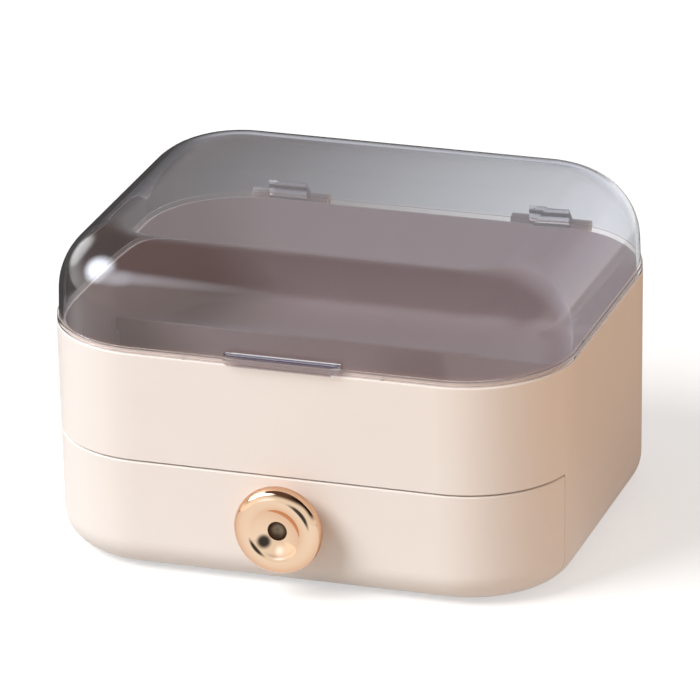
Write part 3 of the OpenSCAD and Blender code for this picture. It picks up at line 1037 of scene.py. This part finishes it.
@cache
def lathe_tree() -> NodeTree:
    """Make a node tree that turns a chain of points in the XZ plane about the Z axis.

    A grid has a column for each point and a row for each turn, and its points are moved.

    Returns:
        The tree.
    """
    tree, add = node_tree("Turn a profile", {"Profile": "Geometry", "Turns": "Int", "Material": "Material"})
    given = add("NodeGroupInput")
    profile = given.outputs["Profile"]
    count = add("GeometryNodeAttributeDomainSize", {0: profile}).outputs["Point Count"]
    last = add(MATH, {0: count, 1: 1.0}, MINUS)
    rows = add(MATH, {0: given.outputs["Turns"], 1: 1.0}, PLUS)
    size = {"Size X": 1.0, "Size Y": 1.0, "Vertices X": count, "Vertices Y": rows}
    grid = add("GeometryNodeMeshGrid", size)
    spot = add("GeometryNodeInputPosition")
    parts = add(SPLIT, {0: spot}).outputs
    along = add(MATH, {0: add(MATH, {0: parts["X"], 1: 0.5}, PLUS), 1: last}, TIMES)
    number = add("FunctionNodeFloatToInt", {0: along}, {"rounding_mode": "ROUND"})
    angle = add(MATH, {0: parts["Y"], 1: math.tau}, TIMES)
    point = add(
        "GeometryNodeSampleIndex",
        {"Geometry": profile, "Index": number, "Value": spot},
        {"data_type": "FLOAT_VECTOR", "domain": "POINT"},
    )
    swung = add("ShaderNodeVectorRotate", {"Vector": point, "Angle": angle}, {"rotation_type": "Z_AXIS"})
    placed = add("GeometryNodeSetPosition", {"Geometry": grid, "Position": swung})
    close_tree(add, given, add("GeometryNodeMergeByDistance", {"Geometry": placed, "Distance": SAME_SPOT_M}))
    return tree


@cache
def copier_tree() -> NodeTree:
    """Make a node tree that puts a copy of an object on every point, spun by chance.

    Each copy spins about its own axis.

    Returns:
        The tree.
    """
    kinds = {
        "Points": "Geometry",
        "Piece": "Object",
        "Turn": "Vector",
        "Spin": "Float",
        "Seed": "Int",
        "Material": "Material",
    }
    tree, add = node_tree("Copies on points", kinds)
    given = add("NodeGroupInput")
    asked = given.outputs
    piece = add("GeometryNodeObjectInfo", {"Object": asked["Piece"]}).outputs["Geometry"]
    chance = add("FunctionNodeRandomValue", {2: 0.0, 3: asked["Spin"], "Seed": asked["Seed"]}, NUMBERS)
    spin = add("FunctionNodeEulerToRotation", {0: add("ShaderNodeCombineXYZ", {"Z": chance})})
    turn = add("FunctionNodeEulerToRotation", {0: asked["Turn"]})
    both = add("FunctionNodeRotateRotation", {0: turn, 1: spin}, {"rotation_space": "LOCAL"})
    copies_at = {"Points": asked["Points"], "Instance": piece, "Rotation": both}
    close_tree(add, given, add("GeometryNodeInstanceOnPoints", copies_at))
    return tree


def shaped(
    name: str, source: Object, tree: NodeTree, values: dict[str, object]
) -> Object:
    """Run a node tree on an object and keep only the mesh that it makes.

    Args:
        name: Name of the new piece.
        source: Object that the tree starts from. It is removed.
        tree: The tree.
        values: Values of its inputs.

    Returns:
        The new object.
    """
    modifier = source.modifiers.new("shape", "NODES")
    modifier.node_group = tree
    for item in tree.interface.items_tree:
        if item.name in values:
            modifier[item.identifier] = values[item.name]
    return plain_copy(source, name)


def turned(name: str, section: Outline, turns: int, material: Material) -> Object:
    """Turn a half section about the Z axis.

    Args:
        name: Name of the new piece.
        section: Distances from the axis and heights, in millimetres.
        turns: Faces round the axis.
        material: The finish.

    Returns:
        The new object.
    """
    mesh = bpy.data.meshes.new(name + "_section")
    steps = [(i, i + 1) for i in range(len(section) - 1)]
    mesh.from_pydata([(r * MM, 0, h * MM) for r, h in section], steps, [])
    source = scene_object(name + "_section", mesh)
    piece = shaped(name, source, lathe_tree(), {"Turns": turns, "Material": material})
    outward(piece.data)
    flat_where_sharp(piece.data)
    return piece


def copies(
    name: str,
    one: Object,
    points: list[Vector],
    material: Material,
    turn: Triple = (0.0, 0.0, 0.0),
    spin: float = 0.0,
    seed: int = 0,
) -> Object:
    """Put copies of an object on points.

    Args:
        name: Name of the new piece.
        one: The object. It is removed.
        points: Where the copies go, in millimetres.
        material: The finish.
        turn: Angles that all copies are turned by.
        spin: Largest angle that chance spins a copy by.
        seed: Seed of the chance.

    Returns:
        The new object.
    """
    mesh = bpy.data.meshes.new(name + "_points")
    mesh.from_pydata([point * MM for point in points], [], [])
    values = {"Piece": one, "Turn": turn, "Spin": spin, "Seed": seed, "Material": material}
    piece = shaped(name, scene_object(name + "_points", mesh), copier_tree(), values)
    bpy.data.objects.remove(one)
    flat_where_sharp(piece.data)
    return piece


def flat_where_sharp(mesh: Mesh) -> None:
    """Shade a mesh smooth but for its sharp edges.

    Args:
        mesh: The mesh.
    """
    mesh.shade_smooth()
    mesh.set_sharp_from_angle(angle=math.radians(SHARP_DEG))


def plain_copy(source: Object, name: str) -> Object:
    """Turn what an object's modifiers make into a plain mesh object and remove the source.

    Args:
        source: Object with its modifiers.
        name: Name of the new piece.

    Returns:
        The new object, at the origin.
    """
    graph = bpy.context.evaluated_depsgraph_get()
    mesh = bpy.data.meshes.new_from_object(source.evaluated_get(graph))
    bpy.data.objects.remove(source)
    mesh.name = name
    return scene_object(name, mesh)


def outward(mesh: Mesh) -> None:
    """Make a closed mesh's faces point outwards.

    Args:
        mesh: The mesh.
    """
    work = bmesh.new()
    work.from_mesh(mesh)
    bmesh.ops.recalc_face_normals(work, faces=work.faces)
    work.to_mesh(mesh)
    work.free()


def direction(azimuth: float, elevation: float) -> Vector:
    """Work out a direction.

    Args:
        azimuth: Degrees from the front towards the right.
        elevation: Degrees above the floor.

    Returns:
        The direction, of length 1.
    """
    az, el = math.radians(azimuth), math.radians(elevation)
    return Vector((math.sin(az) * math.cos(el), -math.cos(az) * math.cos(el), math.sin(el)))


@dataclass(frozen=True)
class Glow:
    """A soft round patch of light in the room, its place and radii in degrees."""

    azimuth: float
    elevation: float
    inner: float
    outer: float
    colour: str
    strength: float

    def over(self, add: AddNode, way: NodeSocket, base: Node) -> Node:
        """Lay the patch over a colour.

        Args:
            add: add_node for the world's tree.
            way: Direction looked in.
            base: Colour so far.

        Returns:
            The colour with the patch.
        """
        axis = direction(self.azimuth, self.elevation)
        near = add(VECTOR_MATH, {0: way, 1: axis}, {"operation": "DOT_PRODUCT"})
        outer, inner = (math.cos(math.radians(angle)) for angle in (self.outer, self.inner))
        ends = {"From Min": outer, "From Max": inner}
        share = add(RANGE, {"Value": near, **ends}, {"interpolation_type": "SMOOTHERSTEP"})
        tint = Vector(linear(self.colour)[:3]) * self.strength
        return add(VECTOR_MATH, {0: share, 1: tint, 2: base}, TIMES_PLUS)


FILL_GLOW = Glow(82, 12, 5, 60, "#FFF0E8", 1.25)
MIRROR_GLOWS = (
    Glow(162, 14, 0, 52, "#F4F6FF", 1.0),
    Glow(-75, 2, 10, 50, "#FFF2E6", 0.35),
    Glow(-125, 12, 3, 16, "#FFFFFF", 1.8),
)


@dataclass(frozen=True)
class Window:
    """A soft-edged card that shines brightly or dimly, seen only in reflections.

    It hangs at a spot and faces a target, with its long side along a direction. All are in
    metres. The core is the share of its radius that is fully bright.
    """

    name: str
    spot: Triple
    target: Triple
    along: Triple
    size: tuple[float, float]
    strength: float
    core: float


# What the cards face, in metres
LID_CORNER = (-0.087, -0.081, 0.136)
KNOB_FACE = (0.0, -0.105, 0.033)
WINDOWS = (
    Window("left_window", (-0.538, -0.144, 0.444), LID_CORNER, (-0.12, 0.97, 0), (0.46, 0.46), 22.0, 0.25),
    Window("near_window", (-0.2, -0.2, 0.29), (-0.03, -0.1, 0.09), (1, -0.2, 0.1), (0.3, 0.15), 7.0, 0.15),
    Window("low_lamp", (-0.063, -0.218, 0.084), KNOB_FACE, (1, 0, 0), (0.09, 0.09), 1.6, 0.1),
    Window("dark_screen", (0.031, -0.221, 0.043), KNOB_FACE, (1, 0, 0), (0.1, 0.1), 0.06, 0.4),
    Window("rear_window", (0.07, 0.5, 0.345), (0.1, 0.03, 0.147), (1, 0, 0), (0.6, 0.34), 0.6, 0.3),
)


@dataclass
class Studio:
    """Camera, floor, lamps and surroundings.

    The camera is the one fitted to the photograph. The floor shows the eye a share of its own
    even light, and through the clear lid it has painted light, a little brighter on the right.
    """

    azimuth: float = 18.43
    elevation: float = 21.91
    roll: float = -1.04
    distance_mm: float = 2833.73
    focal_px: float = 6394.44
    side_px: int = 700
    slide_px: tuple[float, float] = (3.45, 2.61)
    aim_mm: Triple = (0.0, 3.366, 73.95)
    sensor_mm: float = 36.0
    floor_side: float = 12.0
    floor_share: float = 0.45
    floor_light: float = 1.14
    # How much brighter the floor looks through the lid on the right: painted light
    through_lid_painted_light: float = 0.1
    fill_strength: float = 0.4
    key_energy: float = 2.85
    key_angle: float = 32.0
    key_from: Triple = (-0.54, -0.5, 0.68)

    def camera(self) -> None:
        """Place the camera where the photograph was taken from."""
        back, right = direction(self.azimuth, self.elevation), direction(self.azimuth + 90, 0)
        up = back.cross(right)
        roll = math.radians(self.roll)
        turned_right = math.cos(roll) * right + math.sin(roll) * up
        turned_up = -math.sin(roll) * right + math.cos(roll) * up
        lens = bpy.data.cameras.new("photo_camera")
        lens.sensor_width = self.sensor_mm
        lens.lens = self.focal_px / self.side_px * self.sensor_mm
        lens.shift_x = -self.slide_px[0] / self.side_px
        lens.shift_y = self.slide_px[1] / self.side_px
        camera = scene_object("photo_camera", lens)
        place = (Vector(self.aim_mm) + back * self.distance_mm) * MM
        rotation = Matrix((turned_right, turned_up, back)).transposed()
        camera.matrix_world = Matrix.Translation(place) @ rotation.to_4x4()
        bpy.context.scene.camera = camera

    def floor(self) -> None:
        """Lay a plain pale floor under the object.

        The eye sees it white with a soft shadow. Mirrors and clear walls see it with painted shade,
        darker behind the object's left half, and through the lid with painted light, brighter on the
        right; what it throws back on the object is warmer on the right.
        """
        material, add = new_material("Pale matte floor")
        path = add(LIGHT_PATH).outputs
        through = path["Is Transmission Ray"]
        parts = add(SPLIT, {0: add(COORDINATES).outputs["Object"]}).outputs
        x, y = parts["X"], parts["Y"]
        # Where each change of tone starts and where it is complete, in metres
        spans = {
            "warm": (x, 0.0, 0.35),
            "left": (x, 0.03, -0.24),
            "right": (x, -0.06, 0.0),
            "behind": (y, -0.1, 0.12),
            "near": (y, 0.35, 0.325),
            "far": (y, 0.55, 0.85),
        }
        at = {
            name: add(RANGE, {"Value": value, "From Min": low, "From Max": high}, SMOOTH)
            for name, (value, low, high) in spans.items()
        }
        plain = add(DIFFUSE, {"Color": "#FFFFFF"})
        lit = add(EMISSION, {"Color": "#FFFFFF", "Strength": self.floor_light})
        seen = add(MIX_SHADER, {0: self.floor_share, 1: plain, 2: lit})
        bounce = add(DIFFUSE, {"Color": add(MIX, {0: at["warm"], 6: "#C4BEB8", 7: "#D0A474"}, COLOURS)})
        # Painted shade for mirrors and the clear lid: the floor darker behind the object's left half
        shade = add(MATH, {0: at["left"], 1: at["behind"]}, TIMES)
        floor_painted_shade = add(MIX, {0: shade, 6: "#FFFFFF", 7: "#5B5955"}, COLOURS)
        near_shade = add(MATH, {0: at["near"], 1: at["behind"]}, TIMES)
        filtered = {"data_type": "RGBA", "blend_type": "MULTIPLY"}
        dimmed = add(MIX, {0: near_shade, 6: floor_painted_shade, 7: "#E2DFE6"}, filtered)
        rear = add(MIX, {0: at["far"], 6: "#6E6A68", 7: "#F4F4F8"}, COLOURS)
        mirror_right = add(MIX, {0: at["behind"], 6: "#FFFFFF", 7: rear}, COLOURS)
        mirror_left = add(MIX, {0: at["behind"], 6: "#FFFFFF", 7: "#4C494A"}, COLOURS)
        mirror = add(MIX, {0: at["left"], 6: mirror_right, 7: mirror_left}, COLOURS)
        toward = add(MIX, {0: through, 6: mirror, 7: dimmed}, COLOURS)
        # Painted light seen through the lid: the floor brighter on the right
        right = add(MATH, {0: at["right"], 1: at["behind"]}, TIMES)
        bright = add(MATH, {0: right, 1: self.through_lid_painted_light, 2: 1.0}, TIMES_PLUS)
        level = add(MIX, {0: through, 2: 1.0, 3: bright}, NUMBERS)
        mirrored = add(EMISSION, {"Color": toward, "Strength": level})
        clear = add(MATH, {0: path["Is Glossy Ray"], 1: through}, EITHER)
        direct = add(MIX_SHADER, {0: path["Is Diffuse Ray"], 1: seen, 2: bounce})
        add(OUTPUT, {"Surface": add(MIX_SHADER, {0: clear, 1: direct, 2: mirrored})})
        floor = self.card("floor", (self.floor_side, self.floor_side), material)

    def card(self, name: str, size: tuple[float, float], material: Material) -> Object:
        """Make a flat card about the origin.

        Args:
            name: Its name.
            size: Its sides along X and Y, in metres.
            material: The finish.

        Returns:
            The card.
        """
        x, y = size[0] / 2, size[1] / 2
        mesh = bpy.data.meshes.new(name)
        mesh.from_pydata([(-x, -y, 0), (x, -y, 0), (x, y, 0), (-x, y, 0)], [], [(0, 1, 2, 3)])
        mesh.materials.append(material)
        return scene_object(name, mesh)

    def surroundings(self) -> None:
        """Fill the room: white where the eye sees it, dim with soft patches for mirrors."""
        world = bpy.data.worlds.new("studio")
        world.use_nodes = True
        tree = world.node_tree
        tree.nodes.clear()
        add = partial(add_node, tree)
        path = add(LIGHT_PATH).outputs
        way = add(COORDINATES).outputs["Generated"]
        parts = add(SPLIT, {0: way}).outputs
        # Shares of the direction looked in at which each change of tone starts and is complete
        spans = {
            "front": ("Y", -0.1, -0.6),
            "rear": ("Y", 0.2, 0.7),
            "over": ("Z", 0.1, 0.4),
            "far_over": ("Z", 0.55, 0.9),
            "right": ("X", 0.05, 0.5),
            "warm": ("X", -0.1, 0.8),
        }
        at = {
            name: add(RANGE, {"Value": parts[part], "From Min": low, "From Max": high}, SMOOTH)
            for name, (part, low, high) in spans.items()
        }
        high = add(MIX, {0: at["front"], 2: at["over"], 3: at["far_over"]}, NUMBERS)
        walls = add(MIX, {0: at["rear"], 6: "#F6F3F0", 7: "#5C595C"}, COLOURS)
        ceiling = add(MIX, {0: at["right"], 6: "#604C42", 7: "#2C1C14"}, COLOURS)
        room = add(MIX, {0: high, 6: walls, 7: ceiling}, COLOURS)
        for glow in MIRROR_GLOWS:
            room = glow.over(add, way, room)
        fill = FILL_GLOW.over(add, way, add(MIX, {0: at["warm"], 6: "#FFFFFF", 7: "#FFDABA"}, COLOURS))
        seen = add(BACKGROUND, {"Color": "#FFFFFF", "Strength": 1.0})
        lamps = add(BACKGROUND, {"Color": fill, "Strength": self.fill_strength})
        mirrored = add(BACKGROUND, {"Color": room, "Strength": 1.0})
        direct = add(MIX_SHADER, {0: path["Is Camera Ray"], 1: lamps, 2: seen})
        clear = add(MATH, {0: path["Is Glossy Ray"], 1: path["Is Transmission Ray"]}, EITHER)
        both = add(MIX_SHADER, {0: clear, 1: direct, 2: mirrored})
        add("ShaderNodeOutputWorld", {"Surface": both})
        bpy.context.scene.world = world

    def softbox(self, window: Window) -> None:
        """Hang a soft card of light that only polished surfaces see.

        Args:
            window: Its place, size and strength.
        """
        material, add = new_material("Softbox cloth")
        scale = (2 / window.size[0], 2 / window.size[1], 0)
        even = add(VECTOR_MATH, {0: add(COORDINATES).outputs["Object"], 1: scale}, TIMES)
        away = add(VECTOR_MATH, {0: even}, LENGTH)
        share = add(RANGE, {"Value": away, "From Min": 1.0, "From Max": window.core}, SMOOTH)
        glow = add(EMISSION, {"Color": "#F0F4FF", "Strength": window.strength})
        add(OUTPUT, {"Surface": add(MIX_SHADER, {0: share, 1: add(SEE_THROUGH), 2: glow})})
        card = self.card(window.name, window.size, material)
        spot = Vector(window.spot)
        facing = (Vector(window.target) - spot).normalized()
        along = Vector(window.along)
        along = (along - facing * along.dot(facing)).normalized()
        turn = Matrix((along, facing.cross(along), facing)).transposed()
        card.matrix_world = Matrix.Translation(spot) @ turn.to_4x4()
        for rays in ("camera", "transmission", "diffuse", "shadow", "volume_scatter"):
            setattr(card, "visible_" + rays, False)

    def key(self) -> None:
        """Hang the soft key lamp at the front left."""
        lamp = bpy.data.lights.new("key", "SUN")
        lamp.energy = self.key_energy
        lamp.angle = math.radians(self.key_angle)
        key = scene_object("key", lamp)
        key.rotation_euler = Vector(self.key_from).to_track_quat("Z", "Y").to_euler()
        key.visible_glossy = False
        key.visible_transmission = False

    def build(self) -> None:
        """Set up everything round the object."""
        self.camera()
        self.floor()
        self.surroundings()
        for window in WINDOWS:
            self.softbox(window)
        self.key()
        bpy.context.scene.view_settings.view_transform = "Standard"


def hand_over(piece: Object, body: Body, slot: Slot, nodes: tuple[str, ...]) -> None:
    """Let a finished piece ride on its body in place of CAD nodes.

    Args:
        piece: The piece.
        body: The body that carries it.
        slot: The record's slot that it belongs to; not used.
        nodes: The CAD nodes that it stands for.
    """
    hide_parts(*nodes)
    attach(piece, body.value)
    log.info("%s: %d faces on the %s, for %s", piece.name, len(piece.data.polygons), body.value, nodes)


def dress_cad(finishes: dict[Slot, Material]) -> None:
    """Give every CAD node the finish of its slot.

    Args:
        finishes: The finish for each slot.
    """
    for part in frame["record"]["subparts"]:
        node = frame["nodes"][part["node"]]
        node.material_slots[0].material = finishes[Slot(part["material_slot"])]
        log.info("%s wears %s", part["node"], node.material_slots[0].material.name)


def main() -> None:
    """Build the organizer's looks in order."""
    logging.basicConfig(level=logging.INFO, format="%(name)s: %(message)s")
    # The inner moulding is painted darker and pinker than the outer cream: painted shade inside the box
    inner_painted_shade = MouldedAbs(name="Inner cream ABS, satin, painted shade", colour="#E6D6CC", shade="#E2D1C6", roughness=0.4)
    finishes = {
        Slot.CREAM: MouldedAbs().build(),
        Slot.INNER: inner_painted_shade.build(),
        Slot.CLEAR: SmokedStyrene().build(),
        Slot.GOLD: Plating().build(),
        Slot.STEEL: PlainFinish("Zinc-plated steel", "#C6C7C9", 0.3, 1.0).build(),
        Slot.BRASS: PlainFinish("Turned brass", "#D9B35C", 0.28, 1.0).build(),
        Slot.RUBBER: PlainFinish("Grey silicone rubber", "#8C8884", 0.7).build(),
        Slot.ACETAL: PlainFinish("Off-white acetal", "#E9E7E3", 0.35).build(),
    }
    dress_cad(finishes)
    hand_over(Lid().build(finishes[Slot.CLEAR]), Body.LID, Slot.CLEAR, ("lid",))
    hand_over(Knob().build(finishes[Slot.GOLD]), Body.DRAWER, Slot.GOLD, ("knob",))
    for kind in SCREWS:
        hand_over(kind.build(finishes[Slot.STEEL]), kind.body, Slot.STEEL, (kind.node,))
    for button in BUTTONS:
        hand_over(button.build(finishes[Slot.RUBBER]), Body.HOUSING, Slot.RUBBER, button.nodes)
    Studio().build()


if __name__ == "__main__":
    main()
